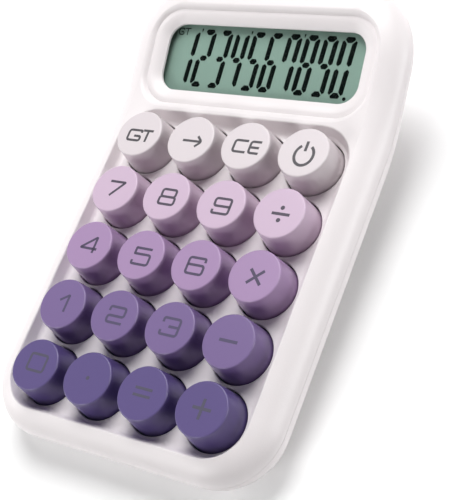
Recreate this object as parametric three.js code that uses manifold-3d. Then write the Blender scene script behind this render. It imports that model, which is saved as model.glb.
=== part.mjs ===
// A desktop calculator: a soft bent casing with a sunken keypad of twenty round keys and a tilted
// liquid crystal display. Millimetres, +X to the right, +Y towards the display end, +Z up.
// The keypad is drawn in a face frame whose XY plane is the deck that the keys come through. The
// whole face is tipped up towards the back, as it stands on a desk.
import * as THREE from "three";
import { mergeVertices } from "three/addons/utils/BufferGeometryUtils.js";
import Module from "manifold-3d";

const wasm = await Module();
wasm.setup();

// Fits and modelling steps
const CLEARANCE = 0.3;
const OVERRUN = 5;
const MERGE_DISTANCE = 0.001;
const ROUND_STEPS = 16;
const SMALL_ROUND_STEPS = 10;
const CORNER_STEPS = 5;
const PLATE_STEPS = 2;
const BEND_STEPS = 4;
const SKIN_STEPS = 4;
const INNER_STEPS = 2;

// Key grid
const COLUMNS = 4;
const ROWS = 5;
const KEY_PITCH = 20;
const KEY_TRAVEL = 3.5;

// Keycap, a hollow tapered drum
const CAP_GAP = 2;
const CAP_TAPER = 0.88;
const CAP_HEIGHT = 9;
const CAP_SKIRT_DROP = 1.6;
const CAP_EDGE = 0.4;
const CAP_WALL = 1.2;
const CAP_CROWN = 1.6;
const SOCKET_RADIUS = 2.9;
const SOCKET_ROOF = 0.4;

// Key switch: plunger with a cross post, in a square housing soldered to the board
const CROSS_SPAN = 4;
const CROSS_ARM = 1.2;
const SHAFT_WIDTH = 5.2;
const FLANGE_WIDTH = 7.2;
const FLANGE_THICKNESS = 1;
const TOWER_SINK = 0.8;
const TOWER_WIDTH = 10;
const TOWER_WALL = 1.1;
const LIP_THICKNESS = 1;
const HOUSING_WIDTH = 14;
const HOUSING_FLOOR = 0.5;

// Circuit board
const BOARD_THICKNESS = 1.6;
const BOARD_MARGIN = 9.5;
const BOARD_TAIL = 5;
const BOARD_CORNER = 4;
const CHIP_RADIUS = 5;
const CHIP_HEIGHT = 1.2;
const STANDOFF = 2;

// Casing walls and outline
const WALL = 2;
const DECK_THICKNESS = 2;
const RIM_HEIGHT = 4;
const WELL_SIDE_MARGIN = 12.1;
const WELL_END_MARGIN = 11.7;
const WELL_CORNER = 12;
const WELL_DRAFT = 1.4;
const RIM_EDGE = 0.6;
const SIDE_BORDER = 7.75;
const FRONT_BORDER = 6.4;
const BACK_BORDER = 9.3;
const BACK_CORNER = 24;
const CROWN_RISE = 7.5;
const CROWN_SEMI_HEIGHT = 8.5;
const HULL_INSET = 8;
const TONGUE_HEIGHT = 1.5;
const TONGUE_THICKNESS = 1.2;

// Bend between the flat keypad and the display, and the tip of the whole face on the desk
const BEND_START = 5.1;
const BEND_RADIUS = 75;
const DISPLAY_TILT = THREE.MathUtils.degToRad(17);
const THINNING_SHARE = 0.15;
const DESK_TILT = THREE.MathUtils.degToRad(5);

// Display recess in the casing
const BRIDGE = 2;
const RECESS_LENGTH = 34.4;
const RECESS_CORNER = 11;
const RECESS_DEPTH = 1.2;
const RECESS_DRAFT = 0.8;
const BEVEL_WIDTH = 2.8;
const BEVEL_DEPTH = 1.8;
const WINDOW_LIP = 0.8;
const WINDOW_SIDE_MARGIN = 5.75;
const WINDOW_END_MARGIN = 6.05;
const WINDOW_CORNER = 6.1;
const WINDOW_SHIFT = 0.3;

// Lens, display glass, its holder and its flat cable
const GLASS_MARGIN = 1.9;
const GLASS_CORNER = 1.2;
const LENS_THICKNESS = 1;
const FRONT_GLASS = 0.9;
const REAR_GLASS = 0.9;
const GLASS_LEDGE = 1.6;
const HOLDER_WALL = 2.2;
const HOLDER_FLOOR = 1.5;
const HOLDER_LEDGE = 3.5;
const HOLDER_CORNER = 2.5;
const CABLE_WIDTH = 44;
const CABLE_THICKNESS = 0.3;
const CABLE_LANDING = 2.6;
const CABLE_SLACK = 1.6;
const CABLE_STEPS = 10;

// Case screws and the posts that they pull together
const SCREW_RADIUS = 1.2;
const SCREW_HEAD_RADIUS = 2.4;
const SCREW_HEAD_HEIGHT = 1.4;
const SCREW_TIP_COVER = 0.7;
const BOSS_RADIUS = 2.7;
const POST_RADIUS = 4.2;
const PROP_RADIUS = 2.5;
const PROP_INSET = 4.5;

// Rear stand under the display end, which holds the battery
const STAND_FRONT = 8;
const STAND_LENGTH = 37;
const STAND_CORNER = 5;
const STAND_FLARE = 2;
const STAND_REACH = 26;
const STAND_FLOOR = 3.4;
const STAND_LIFT = 1.2;
const RAIL_DEPTH = 1.4;
const RAIL_SHELF = 0.7;
const DOOR_THICKNESS = 1.6;
const DOOR_LENGTH = 21;
const GRIP_WIDTH = 14;
const GRIP_LENGTH = 1.2;
const GRIP_SETBACK = 4.2;
const GRIP_DEPTH = 0.6;
const GRIP_COUNT = 3;
const BAY_WALL = 1.2;

// Battery, an AAA cell, and its contacts
const CELL_RADIUS = 5.25;
const CELL_LENGTH = 44.5;
const CELL_EDGE = 0.6;
const CELL_NUB_RADIUS = 1.9;
const CELL_NUB = 1;
const CONTACT_THICKNESS = 0.45;
const CONTACT_WIDTH = 8;
const SPRING_LENGTH = 3.5;
const SPRING_WIRE = 0.35;
const SPRING_RADIUS = 3.2;
const SPRING_TIP_RADIUS = 1.8;
const SPRING_TURNS = 3;
const SPRING_STEPS_PER_TURN = 8;
const SPRING_SIDES = 2;

// Feet
const FOOT_RADIUS = 4.5;
const FOOT_HEIGHT = 2;
const FOOT_EDGE = 0.4;
const FRONT_FOOT_INSET = 16;
const FRONT_FOOT_SIDE_INSET = 17.85;
const REAR_FOOT_INSET = 7.5;
const REAR_FOOT_SIDE_INSET = 6.55;
const HULL_LIFT = 1.5;

// Heights in the face frame, with the deck at zero, worked out from the key's stroke downwards
const CAP_DECK_RADIUS = (KEY_PITCH - CAP_GAP) / 2;
const CAP_TOP_RADIUS = CAP_DECK_RADIUS - CAP_TAPER;
const CAP_SLOPE = CAP_TAPER / CAP_HEIGHT;
const CAP_SKIRT_RADIUS = CAP_DECK_RADIUS + CAP_SLOPE * CAP_SKIRT_DROP;
const HOLE_RADIUS = CAP_SKIRT_RADIUS + CLEARANCE;
const CAP_CEILING = CAP_HEIGHT - CAP_CROWN;
const TOWER_TOP = -TOWER_SINK;
const SOCKET_BOTTOM = TOWER_TOP + KEY_TRAVEL + CLEARANCE;
const SHOULDER = SOCKET_BOTTOM - CLEARANCE;
const FLANGE_TOP = TOWER_TOP - LIP_THICKNESS - CLEARANCE;
const FLANGE_BOTTOM = FLANGE_TOP - FLANGE_THICKNESS;
const POCKET_FLOOR = FLANGE_BOTTOM - KEY_TRAVEL - CLEARANCE;
const BOARD_TOP = POCKET_FLOOR - HOUSING_FLOOR;
const BOARD_BOTTOM = BOARD_TOP - BOARD_THICKNESS;
const HOUSING_TOP = -CAP_SKIRT_DROP - KEY_TRAVEL - CLEARANCE;
const INNER_FLOOR = BOARD_BOTTOM - STANDOFF;
const HULL_BOTTOM = INNER_FLOOR - WALL;
const SEAM = RIM_HEIGHT - CROWN_RISE;
const HULL_TOP = SEAM - CLEARANCE;

// Places along the face, with the top row of keys at zero
const FIRST_COLUMN = -KEY_PITCH * (COLUMNS - 1) / 2;
const LAST_ROW = -KEY_PITCH * (ROWS - 1);
const WELL_HALF_WIDTH = WELL_SIDE_MARGIN - FIRST_COLUMN;
const WELL_FRONT = LAST_ROW - WELL_END_MARGIN;
const WELL_BACK = WELL_END_MARGIN;
const RECESS_FRONT = WELL_BACK + BRIDGE;
const RECESS_MIDDLE = RECESS_FRONT + RECESS_LENGTH / 2;
const RECESS_BACK = RECESS_FRONT + RECESS_LENGTH;
const HALF_WIDTH = WELL_HALF_WIDTH + SIDE_BORDER;
const FRONT = WELL_FRONT - FRONT_BORDER;
const BACK = RECESS_BACK + BACK_BORDER;
const CORNER = WELL_CORNER + SIDE_BORDER;
const BEND_LENGTH = BEND_RADIUS * DISPLAY_TILT;
const BEND_END = BEND_START + BEND_LENGTH;

// Depths below the display's outer plane
const BEZEL_BACK = -RECESS_DEPTH - BEVEL_DEPTH - WINDOW_LIP;
const LENS_FRONT = BEZEL_BACK - CLEARANCE;
const GLASS_FRONT = LENS_FRONT - LENS_THICKNESS - CLEARANCE;
const GLASS_BACK = GLASS_FRONT - FRONT_GLASS - REAR_GLASS;
const HOLDER_BACK = GLASS_BACK - CLEARANCE - HOLDER_FLOOR;
const HULL_DEPTH = (RIM_HEIGHT - HULL_BOTTOM) * (1 - THINNING_SHARE);
const WINDOW_WIDTH = 2 * (WELL_HALF_WIDTH - WINDOW_SIDE_MARGIN);
const WINDOW_LENGTH = RECESS_LENGTH - 2 * WINDOW_END_MARGIN;
const GLASS_WIDTH = WINDOW_WIDTH + 2 * GLASS_MARGIN;
const GLASS_LENGTH = WINDOW_LENGTH + 2 * GLASS_MARGIN;

// Screws stand in the gaps between four keys, near the two ends of the keypad
const SCREW_X = KEY_PITCH * (COLUMNS / 2 - 1);
const SCREW_ROWS = [-KEY_PITCH / 2, LAST_ROW + KEY_PITCH / 2];

// Desk frame: the face is turned about X and lifted until the feet stand at zero
const FRONT_FOOT_Y = FRONT + FRONT_FOOT_INSET;
const FACE_LIFT = HULL_LIFT - FRONT_FOOT_Y * Math.sin(DESK_TILT) - HULL_BOTTOM * Math.cos(DESK_TILT);
const toDesk = new THREE.Matrix4().makeRotationX(DESK_TILT).setPosition(0, 0, FACE_LIFT);

// Battery bay in the desk frame, along X
const BAY_LENGTH = CELL_LENGTH + SPRING_LENGTH + 2 * CONTACT_THICKNESS + 4 * CLEARANCE;
const BAY_HALF = BAY_LENGTH / 2;
const STAND_BACK = STAND_FRONT + STAND_LENGTH;
const DOOR_CEILING = STAND_LIFT + DOOR_THICKNESS + CLEARANCE;
const CELL_Y = STAND_BACK - DOOR_LENGTH / 2;
const CELL_Z = DOOR_CEILING + CLEARANCE + CELL_RADIUS;
const BAY_TOP = CELL_Z + CELL_RADIUS + CLEARANCE;
const BAY_REACH = CELL_RADIUS + 2 * CLEARANCE;
const DOOR_HALF = BAY_HALF + CLEARANCE;
const STAND_HALF = DOOR_HALF + CLEARANCE + RAIL_DEPTH + WALL;
const FRONT_FOOT_SPREAD = HALF_WIDTH - FRONT_FOOT_SIDE_INSET;
const REAR_FOOT_SPREAD = STAND_HALF - REAR_FOOT_SIDE_INSET;
const CELL_START = -BAY_HALF + CLEARANCE + CONTACT_THICKNESS + CLEARANCE;

// Where a point of the flat pattern goes when the casing bends up towards the display, round a
// line above the face. The casing grows a little thinner along the bend.
function bend(x, along, height) {
  const thinning = THINNING_SHARE * THREE.MathUtils.smoothstep(along, BEND_START, BEND_END);
  const depth = (RIM_HEIGHT - height) * (1 - thinning);
  const swing = THREE.MathUtils.clamp((along - BEND_START) / BEND_RADIUS, 0, DISPLAY_TILT);
  const radius = BEND_RADIUS + depth;
  const straight = Math.min(along, BEND_START) - BEND_START + Math.max(along - BEND_END, 0);
  const y = BEND_START + radius * Math.sin(swing) + straight * Math.cos(swing);
  const z = RIM_HEIGHT + BEND_RADIUS - radius * Math.cos(swing) + straight * Math.sin(swing);
  return new THREE.Vector3(x, y, z);
}

// The display's own frame: origin in the middle of its recess, Z out of the glass
const displayOrigin = bend(0, BEND_END, RIM_HEIGHT)
  .add(new THREE.Vector3(0, Math.cos(DISPLAY_TILT), Math.sin(DISPLAY_TILT))
    .multiplyScalar(RECESS_MIDDLE - BEND_END));
const toFaceFromDisplay = new THREE.Matrix4().makeRotationX(DISPLAY_TILT).setPosition(displayOrigin);

// Solids and geometries

function solid(geometry, matrix = new THREE.Matrix4()) {
  const plain = new THREE.BufferGeometry().setAttribute("position", geometry.getAttribute("position").clone());
  plain.setIndex(geometry.index);
  const merged = mergeVertices(plain.applyMatrix4(matrix), MERGE_DISTANCE);
  return new wasm.Manifold(new wasm.Mesh({
    numProp: 3,
    vertProperties: merged.getAttribute("position").array,
    triVerts: new Uint32Array(merged.index.array),
  }));
}

function geometryOf(body) {
  const mesh = body.getMesh();
  const geometry = new THREE.BufferGeometry();
  geometry.setAttribute("position", new THREE.BufferAttribute(mesh.vertProperties, 3));
  geometry.setIndex(new THREE.BufferAttribute(mesh.triVerts, 1));
  geometry.computeVertexNormals();
  return geometry;
}

function at(x, y, z) {
  return new THREE.Matrix4().makeTranslation(x, y, z);
}

function roundedRectangle(halfWidth, halfLength, radius) {
  const shape = new THREE.Shape();
  shape.absarc(halfWidth - radius, halfLength - radius, radius, 0, Math.PI / 2);
  shape.absarc(radius - halfWidth, halfLength - radius, radius, Math.PI / 2, Math.PI);
  shape.absarc(radius - halfWidth, radius - halfLength, radius, Math.PI, 1.5 * Math.PI);
  shape.absarc(halfWidth - radius, radius - halfLength, radius, 1.5 * Math.PI, 2 * Math.PI);
  shape.closePath();
  return shape;
}

// A plate of the given outline from one height to another
function plate(shape, low, high, steps = PLATE_STEPS) {
  const geometry = new THREE.ExtrudeGeometry(shape, {
    depth: high - low,
    bevelEnabled: false,
    curveSegments: steps,
  });
  return geometry.translate(0, 0, low);
}

// A box between two corners
function block(low, high) {
  const size = new THREE.Vector3().subVectors(high, low);
  const middle = new THREE.Vector3().addVectors(low, high).multiplyScalar(0.5);
  return new THREE.BoxGeometry(size.x, size.y, size.z).translate(middle.x, middle.y, middle.z);
}

// An upright square post from one height to another
function post(width, low, high) {
  return new THREE.BoxGeometry(width, width, high - low).translate(0, 0, (low + high) / 2);
}

// An upright cylinder or cone from one height to another
function drum(radius, low, high, topRadius = radius, steps = SMALL_ROUND_STEPS) {
  const geometry = new THREE.CylinderGeometry(topRadius, radius, high - low, steps);
  return geometry.rotateX(Math.PI / 2).translate(0, 0, (low + high) / 2);
}

// Rings of equal point counts, each counter-clockwise from above, stacked upwards into a closed skin.
// Opposite points of a ring, left and right, are joined across to close the two ends.
function loft(rings) {
  const count = rings[0].length;
  const indices = [];
  const quad = (a, b, c, d) => indices.push(a, b, c, a, c, d);
  for (let ring = 0; ring < rings.length - 1; ring++) {
    for (let k = 0; k < count; k++) {
      const next = (k + 1) % count;
      const base = ring * count;
      quad(base + k, base + next, base + count + next, base + count + k);
    }
  }
  const last = (rings.length - 1) * count;
  for (let k = 0; k < count / 2 - 1; k++) {
    const other = count - 1 - k;
    quad(other, other - 1, k + 1, k);
    quad(last + other, last + k, last + k + 1, last + other - 1);
  }
  const geometry = new THREE.BufferGeometry().setFromPoints(rings.flat());
  return geometry.setIndex(indices);
}

// One ring of a rounded rectangle, right side from front to back, then the left side coming back.
// A corner is a quarter-ellipse, of one size across and of its own size along at each end.
function ringPoints(halfWidth, front, back, across, alongFront, alongBack, stations) {
  const right = [];
  for (let k = 0; k <= CORNER_STEPS; k++) {
    const angle = Math.PI / 2 * k / CORNER_STEPS;
    right.push([halfWidth - across * (1 - Math.sin(angle)), front + alongFront * (1 - Math.cos(angle))]);
  }
  stations.forEach((station) => right.push([halfWidth, station]));
  for (let k = 0; k <= CORNER_STEPS; k++) {
    const angle = Math.PI / 2 * k / CORNER_STEPS;
    right.push([halfWidth - across * (1 - Math.cos(angle)), back - alongBack * (1 - Math.sin(angle))]);
  }
  const left = right.map(([x, y]) => [-x, y]).reverse();
  return right.concat(left);
}

// A rounded rectangular plug whose walls lean: each level gives a height and how far it is set in
function leaningPlug(halfWidth, front, back, corner, levels) {
  return loft(levels.map(([height, inset]) => {
    const round = corner - inset;
    return ringPoints(halfWidth - inset, front + inset, back - inset, round, round, round, [])
      .map(([x, y]) => new THREE.Vector3(x, y, height));
  }));
}

// A ring of the casing's outline at a height, set in from the widest line and bent to the face
function casingRing(height, side, front = side, back = side) {
  const stations = [];
  for (let k = 0; k < BEND_STEPS; k++) {
    stations.push(BEND_START + BEND_LENGTH * k / BEND_STEPS);
  }
  const ring = ringPoints(HALF_WIDTH - side, FRONT + front, BACK - back, CORNER - side,
    CORNER - front, BACK_CORNER - back, stations);
  return ring.map(([x, along]) => bend(x, along, height));
}

// The crown of the casing is a quarter-ellipse from the seam up to the rim, set in by the borders
function crown(skin, start, steps) {
  const top = Math.asin(CROWN_RISE / CROWN_SEMI_HEIGHT);
  const rings = [];
  for (let k = 0; k <= steps; k++) {
    const angle = top * k / steps;
    const insetShare = (1 - Math.cos(angle)) / (1 - Math.cos(top));
    const riseShare = Math.sin(angle) / Math.sin(top);
    const inset = (border) => skin + (border - RIM_EDGE) * insetShare;
    rings.push(casingRing(SEAM + (CROWN_RISE - skin) * riseShare, inset(SIDE_BORDER),
      inset(FRONT_BORDER), inset(BACK_BORDER)));
  }
  if (start < SEAM) rings.unshift(casingRing(start, skin));
  return solid(loft(rings));
}

// The hull is a quarter-ellipse from its flat bottom up to the seam
function hull(skin, end, steps) {
  const depth = HULL_TOP - HULL_BOTTOM - skin;
  const rings = [];
  for (let k = steps; k >= 0; k--) {
    const angle = Math.PI / 2 * k / steps;
    const inset = skin + HULL_INSET * (1 - Math.cos(angle));
    rings.push(casingRing(HULL_TOP - depth * Math.sin(angle), inset));
  }
  if (end > HULL_TOP) rings.push(casingRing(end, skin));
  return solid(loft(rings));
}

// Keycap: a turned shell with a hollow post inside, whose cross slot takes the plunger

function crossShape(span, arm) {
  const shape = new THREE.Shape();
  const far = span / 2;
  const near = arm / 2;
  shape.moveTo(far, -near);
  shape.lineTo(far, near);
  shape.lineTo(near, near);
  shape.lineTo(near, far);
  shape.lineTo(-near, far);
  shape.lineTo(-near, near);
  shape.lineTo(-far, near);
  shape.lineTo(-far, -near);
  shape.lineTo(-near, -near);
  shape.lineTo(-near, -far);
  shape.lineTo(near, -far);
  shape.lineTo(near, -near);
  shape.closePath();
  return shape;
}

function turned(profile, steps = SMALL_ROUND_STEPS) {
  const points = profile.map(([radius, height]) => new THREE.Vector2(radius, height));
  return new THREE.LatheGeometry(points, steps).rotateX(Math.PI / 2);
}

function keycapGeometry() {
  const outerRadius = (height) => CAP_TOP_RADIUS + CAP_SLOPE * (CAP_HEIGHT - height);
  const shoulder = CAP_HEIGHT - CAP_EDGE;
  const shell = solid(turned([
    [0, CAP_CEILING],
    [outerRadius(CAP_CEILING) - CAP_WALL, CAP_CEILING],
    [CAP_SKIRT_RADIUS - CAP_WALL, -CAP_SKIRT_DROP],
    [CAP_SKIRT_RADIUS, -CAP_SKIRT_DROP],
    [outerRadius(shoulder), shoulder],
    [CAP_TOP_RADIUS - CAP_EDGE, CAP_HEIGHT],
    [0, CAP_HEIGHT],
  ], ROUND_STEPS));
  const socket = solid(drum(SOCKET_RADIUS, SOCKET_BOTTOM, CAP_HEIGHT - CAP_EDGE));
  const outline = crossShape(CROSS_SPAN + 2 * CLEARANCE, CROSS_ARM + 2 * CLEARANCE);
  const slot = solid(plate(outline, SOCKET_BOTTOM - OVERRUN, CAP_CEILING - SOCKET_ROOF));
  return geometryOf(shell.add(socket).subtract(slot));
}

function plungerGeometry() {
  const cross = plate(crossShape(CROSS_SPAN, CROSS_ARM), SHOULDER - CLEARANCE,
    CAP_CEILING - SOCKET_ROOF - CLEARANCE);
  const shaft = post(SHAFT_WIDTH, FLANGE_BOTTOM, SHOULDER);
  const flange = post(FLANGE_WIDTH, FLANGE_BOTTOM, FLANGE_TOP);
  return geometryOf(solid(shaft).add(solid(flange)).add(solid(cross)));
}

// Board with its twenty switch housings, each a base and a tower with a pocket for the plunger

function switchHousing() {
  const base = post(HOUSING_WIDTH, BOARD_TOP - CLEARANCE, HOUSING_TOP);
  const tower = post(TOWER_WIDTH, BOARD_TOP, TOWER_TOP);
  const pocket = post(TOWER_WIDTH - 2 * TOWER_WALL, POCKET_FLOOR, TOWER_TOP - LIP_THICKNESS);
  const mouth = post(SHAFT_WIDTH + 2 * CLEARANCE, POCKET_FLOOR, TOWER_TOP + OVERRUN);
  return solid(base).add(solid(tower)).subtract(solid(pocket)).subtract(solid(mouth));
}

function mainBoardGeometry() {
  const halfWidth = BOARD_MARGIN - FIRST_COLUMN;
  const front = LAST_ROW - BOARD_MARGIN;
  const back = BOARD_MARGIN + BOARD_TAIL;
  const outline = roundedRectangle(halfWidth, (back - front) / 2, BOARD_CORNER);
  let board = solid(plate(outline, BOARD_BOTTOM, BOARD_TOP, 2), at(0, (front + back) / 2, 0));
  const chip = drum(CHIP_RADIUS, BOARD_BOTTOM - CHIP_HEIGHT, BOARD_BOTTOM + CLEARANCE, CHIP_RADIUS);
  board = board.add(solid(chip, at(0, LAST_ROW / 2, 0)));
  screwPlaces().forEach(([x, y]) => {
    const hole = drum(SCREW_RADIUS + CLEARANCE, BOARD_BOTTOM - OVERRUN, BOARD_TOP + OVERRUN);
    board = board.subtract(solid(hole, at(x, y, 0)));
  });
  const housing = geometryOf(switchHousing());
  keyPlaces().forEach(([x, y]) => {
    board = board.add(solid(housing, at(x, y, 0)));
  });
  return geometryOf(board);
}

function keyPlaces() {
  const places = [];
  for (let row = 0; row < ROWS; row++) {
    for (let column = 0; column < COLUMNS; column++) {
      places.push([FIRST_COLUMN + KEY_PITCH * column, -KEY_PITCH * row]);
    }
  }
  return places;
}

function screwPlaces() {
  return SCREW_ROWS.flatMap((y) => [[-SCREW_X, y], [SCREW_X, y]]);
}

// Top case: crown, sunken well with its deck of key holes, and the stepped display recess

function wellPlug(skin, low) {
  return solid(leaningPlug(WELL_HALF_WIDTH + skin, WELL_FRONT - skin, WELL_BACK + skin, WELL_CORNER + skin, [
    [low, WELL_DRAFT],
    [RIM_HEIGHT - RIM_EDGE, 0],
    [RIM_HEIGHT + RIM_EDGE / 2, -RIM_EDGE],
    [RIM_HEIGHT + OVERRUN, -RIM_EDGE],
  ]));
}

function recessPlug(skin, low) {
  const plug = leaningPlug(WELL_HALF_WIDTH + skin, -RECESS_LENGTH / 2 - skin, RECESS_LENGTH / 2 + skin,
    RECESS_CORNER + skin, [[low, RECESS_DRAFT], [0, 0], [OVERRUN, 0]]);
  return solid(plug, toFaceFromDisplay);
}

function windowPlug() {
  const halfLength = WINDOW_LENGTH / 2;
  const plug = leaningPlug(WINDOW_WIDTH / 2, WINDOW_SHIFT - halfLength, WINDOW_SHIFT + halfLength,
    WINDOW_CORNER, [
      [BEZEL_BACK - OVERRUN, 0],
      [-RECESS_DEPTH - BEVEL_DEPTH, 0],
      [-RECESS_DEPTH + CLEARANCE, -BEVEL_WIDTH * (1 + CLEARANCE / BEVEL_DEPTH)],
    ]);
  return solid(plug, toFaceFromDisplay);
}

// A tongue inside the seam lines the top case up with the bottom case
function tongue() {
  const outer = WALL + 2 * CLEARANCE;
  const inner = outer + TONGUE_THICKNESS;
  const root = SEAM + TONGUE_HEIGHT;
  const low = SEAM - TONGUE_HEIGHT;
  const band = loft([
    casingRing(low, outer),
    casingRing(SEAM, outer),
    casingRing(root, WALL - CLEARANCE),
  ]);
  const core = loft([
    casingRing(low - OVERRUN, inner),
    casingRing(root + OVERRUN, inner),
  ]);
  return solid(band).subtract(solid(core));
}

function topCaseGeometry() {
  let hollow = crown(WALL, SEAM - OVERRUN, INNER_STEPS);
  hollow = hollow.subtract(wellPlug(WALL, -DECK_THICKNESS));
  hollow = hollow.subtract(recessPlug(WALL, BEZEL_BACK));
  let shell = crown(0, SEAM, SKIN_STEPS).subtract(hollow).add(tongue());
  shell = shell.subtract(wellPlug(0, 0)).subtract(recessPlug(0, -RECESS_DEPTH)).subtract(windowPlug());
  const hole = drum(HOLE_RADIUS, -DECK_THICKNESS - OVERRUN, OVERRUN, HOLE_RADIUS, ROUND_STEPS);
  const boss = drum(BOSS_RADIUS, BOARD_TOP + CLEARANCE, -DECK_THICKNESS + CLEARANCE);
  const pilot = drum(SCREW_RADIUS + CLEARANCE, BOARD_TOP - OVERRUN, -DECK_THICKNESS - SCREW_TIP_COVER);
  keyPlaces().forEach(([x, y]) => {
    shell = shell.subtract(solid(hole, at(x, y, 0)));
  });
  screwPlaces().forEach(([x, y]) => {
    shell = shell.add(solid(boss, at(x, y, 0))).subtract(solid(pilot, at(x, y, 0)));
  });
  return geometryOf(shell);
}

// Bottom case: round-edged hull, the stand that holds the battery, posts, props and foot recesses

function standOuter() {
  const levels = [[STAND_LIFT, STAND_FLARE], [STAND_REACH, 0]];
  return solid(leaningPlug(STAND_HALF + STAND_FLARE, STAND_FRONT - STAND_FLARE, STAND_BACK + STAND_FLARE,
    STAND_CORNER + STAND_FLARE, levels));
}

function standHollow() {
  const low = STAND_LIFT + STAND_FLOOR;
  return solid(leaningPlug(STAND_HALF - WALL, STAND_FRONT + WALL, STAND_BACK - WALL, STAND_CORNER,
    [[low, 0], [STAND_REACH + OVERRUN, 0]]));
}

// The door's plate and rails are one section, drawn across the door and run along it
function doorSection(half, rail, thickness, shelf) {
  const shape = new THREE.Shape();
  shape.moveTo(-half, STAND_LIFT);
  shape.lineTo(half, STAND_LIFT);
  shape.lineTo(half, STAND_LIFT + shelf);
  shape.lineTo(half + rail, STAND_LIFT + shelf);
  shape.lineTo(half + rail, STAND_LIFT + thickness);
  shape.lineTo(-half - rail, STAND_LIFT + thickness);
  shape.lineTo(-half - rail, STAND_LIFT + shelf);
  shape.lineTo(-half, STAND_LIFT + shelf);
  shape.closePath();
  return shape;
}

function alongDoor(shape, front, back) {
  return plate(shape, -back, -front).rotateX(Math.PI / 2);
}

function bayBox(skin, low, high) {
  return solid(block(new THREE.Vector3(-BAY_HALF - skin, CELL_Y - BAY_REACH - skin, low),
    new THREE.Vector3(BAY_HALF + skin, CELL_Y + BAY_REACH + skin, high)));
}

function footPlaces() {
  const y = FRONT_FOOT_Y * Math.cos(DESK_TILT) - HULL_BOTTOM * Math.sin(DESK_TILT);
  return {
    foot_front_left: [-FRONT_FOOT_SPREAD, y],
    foot_front_right: [FRONT_FOOT_SPREAD, y],
    foot_rear_left: [-REAR_FOOT_SPREAD, STAND_FRONT + REAR_FOOT_INSET],
    foot_rear_right: [REAR_FOOT_SPREAD, STAND_FRONT + REAR_FOOT_INSET],
  };
}

// Props reach from the hull's floor to the back of the display holder
function propPlaces() {
  const x = GLASS_WIDTH / 2 + CLEARANCE + HOLDER_WALL - PROP_INSET;
  return [-x, x];
}

function bottomCaseGeometry() {
  const toDeskSolid = (body) => solid(geometryOf(body), toDesk);
  const outer = toDeskSolid(hull(0, HULL_TOP, SKIN_STEPS));
  const hollow = toDeskSolid(hull(WALL, RIM_HEIGHT + OVERRUN, SKIN_STEPS));
  let shell = outer.add(standOuter()).subtract(hollow).subtract(standHollow());
  const pillar = drum(POST_RADIUS, INNER_FLOOR - CLEARANCE, BOARD_BOTTOM - CLEARANCE);
  const prop = drum(PROP_RADIUS, WALL / 2 - HULL_DEPTH, HOLDER_BACK - CLEARANCE);
  screwPlaces().forEach(([x, y]) => {
    shell = shell.add(solid(pillar, at(x, y, 0).premultiply(toDesk)));
  });
  propPlaces().forEach((x) => {
    const place = at(x, 0, 0).premultiply(toFaceFromDisplay).premultiply(toDesk);
    shell = shell.add(solid(prop, place));
  });
  shell = shell.add(bayBox(BAY_WALL, DOOR_CEILING, BAY_TOP + BAY_WALL));
  shell = shell.subtract(bayBox(0, -OVERRUN, BAY_TOP));
  const section = doorSection(DOOR_HALF, RAIL_DEPTH, DOOR_THICKNESS + CLEARANCE, RAIL_SHELF);
  shell = shell.subtract(solid(alongDoor(section, STAND_BACK - DOOR_LENGTH - CLEARANCE, STAND_BACK + OVERRUN)));
  const mouth = doorSection(DOOR_HALF, 0, DOOR_THICKNESS + CLEARANCE, RAIL_SHELF);
  shell = shell.subtract(solid(alongDoor(mouth, STAND_BACK - DOOR_LENGTH - CLEARANCE, STAND_BACK + OVERRUN)
    .translate(0, 0, -CLEARANCE)));
  const head = drum(SCREW_HEAD_RADIUS + CLEARANCE, HULL_BOTTOM - OVERRUN, INNER_FLOOR - CLEARANCE / 2);
  const shank = drum(SCREW_RADIUS + CLEARANCE, HULL_BOTTOM - OVERRUN, BOARD_BOTTOM + OVERRUN);
  screwPlaces().forEach(([x, y]) => {
    const place = at(x, y, 0).premultiply(toDesk);
    shell = shell.subtract(solid(head, place)).subtract(solid(shank, place));
  });
  const recessRadius = FOOT_RADIUS + CLEARANCE;
  const recess = drum(recessRadius, -OVERRUN, FOOT_HEIGHT + CLEARANCE, recessRadius, ROUND_STEPS);
  Object.values(footPlaces()).forEach(([x, y]) => {
    shell = shell.subtract(solid(recess, at(x, y, 0)));
  });
  return geometryOf(shell);
}

// Battery door: a sliding plate with rails and finger ridges cut across it

function batteryDoorGeometry() {
  const section = doorSection(DOOR_HALF - CLEARANCE, RAIL_DEPTH - CLEARANCE, DOOR_THICKNESS,
    RAIL_SHELF + CLEARANCE);
  let door = solid(alongDoor(section, STAND_BACK - DOOR_LENGTH, STAND_BACK));
  for (let k = 0; k < GRIP_COUNT; k++) {
    const front = STAND_BACK - GRIP_SETBACK - 2 * GRIP_LENGTH * k;
    door = door.subtract(solid(block(
      new THREE.Vector3(-GRIP_WIDTH / 2, front, STAND_LIFT - OVERRUN),
      new THREE.Vector3(GRIP_WIDTH / 2, front + GRIP_LENGTH, STAND_LIFT + GRIP_DEPTH),
    )));
  }
  return geometryOf(door);
}

// Battery with its raised pole, lying along X, and the two contacts at the ends of its bay

function alongX(geometry) {
  return geometry.rotateY(Math.PI / 2);
}

function batteryGeometry() {
  const rim = CELL_RADIUS - CELL_EDGE;
  return alongX(turned([
    [0, 0],
    [CELL_NUB_RADIUS, 0],
    [CELL_NUB_RADIUS, CELL_NUB],
    [rim, CELL_NUB],
    [CELL_RADIUS, CELL_NUB + CELL_EDGE],
    [CELL_RADIUS, CELL_LENGTH - CELL_EDGE],
    [rim, CELL_LENGTH],
    [0, CELL_LENGTH],
  ]));
}

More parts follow.
